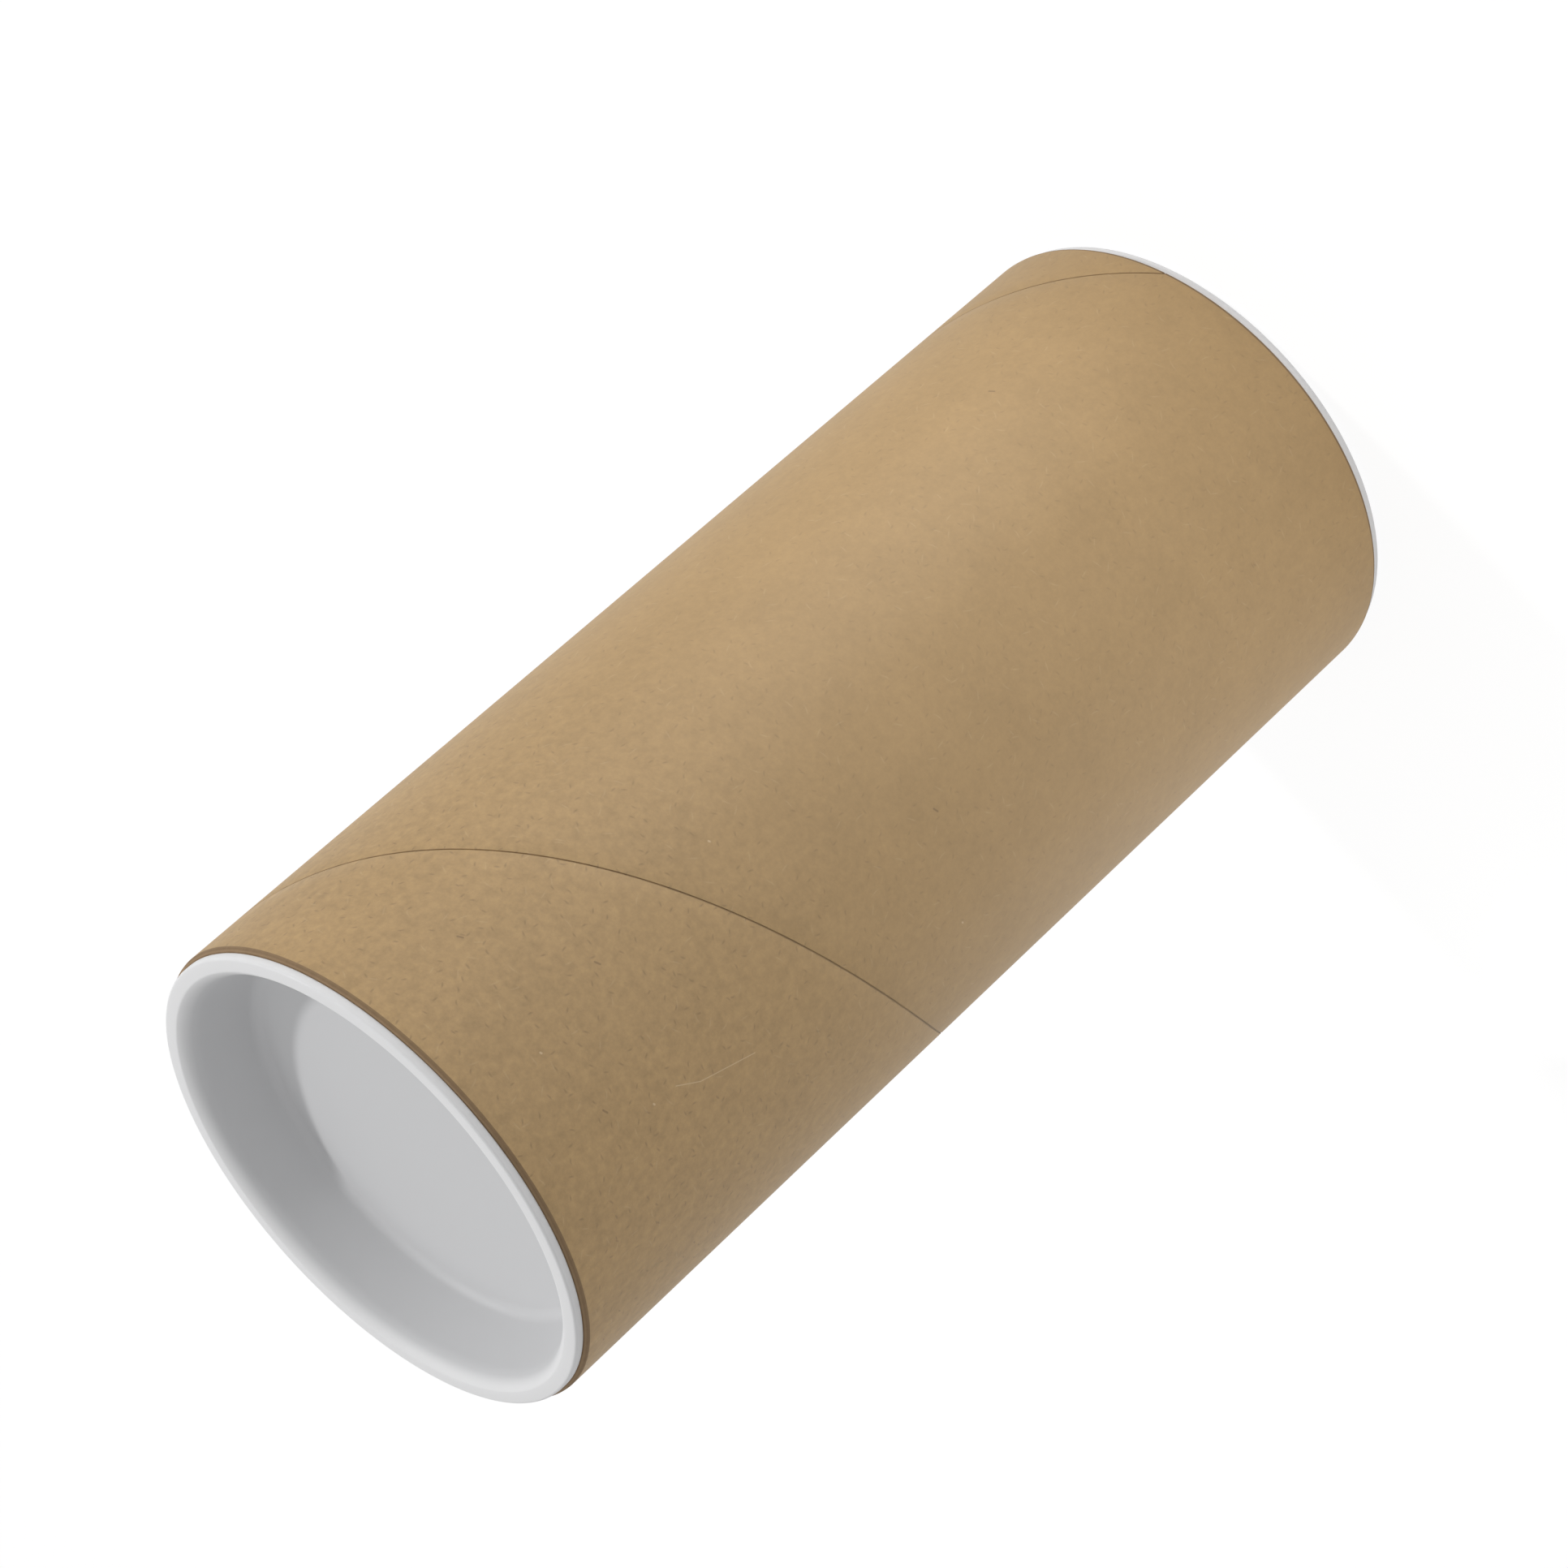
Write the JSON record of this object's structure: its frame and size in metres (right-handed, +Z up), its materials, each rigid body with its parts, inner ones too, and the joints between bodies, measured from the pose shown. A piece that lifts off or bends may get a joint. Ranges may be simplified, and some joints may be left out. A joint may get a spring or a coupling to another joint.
{
  "type": "paper tube",
  "caption": "Short spirally wound kraft board tube, closed at each end by a white push-in plastic plug with a rounded lip, for posting or keeping rolled sheets and small goods.",
  "frame": {"origin": "centre of the lower plug's flange, on the surface that the tube stands on", "axes": "+Z up the tube's axis to the plug that the picture shows, -Y to the side that the picture looks at"},
  "size_m": [0.081, 0.081, 0.188],
  "materials": {
    "kraft_board": "plain brown kraft paper, matt, with fine fibres",
    "white_plug": "moulded white polyethylene with a soft sheen"
  },
  "bodies": {
    "bottom_plug": {"bottom_plug": "white_plug"},
    "tube": {"paper_tube": "kraft_board"},
    "top_plug": {"top_plug": "white_plug"}
  },
  "joints": [
    {"name": "bottom_plug_pull", "type": "slide", "parent": "bottom_plug", "child": "tube", "axis": [0, 0, 1], "range_m": [0, 0.015]},
    {"name": "top_plug_pull", "type": "slide", "parent": "tube", "child": "top_plug", "axis": [0, 0, 1], "range_m": [0, 0.015]}
  ]
}
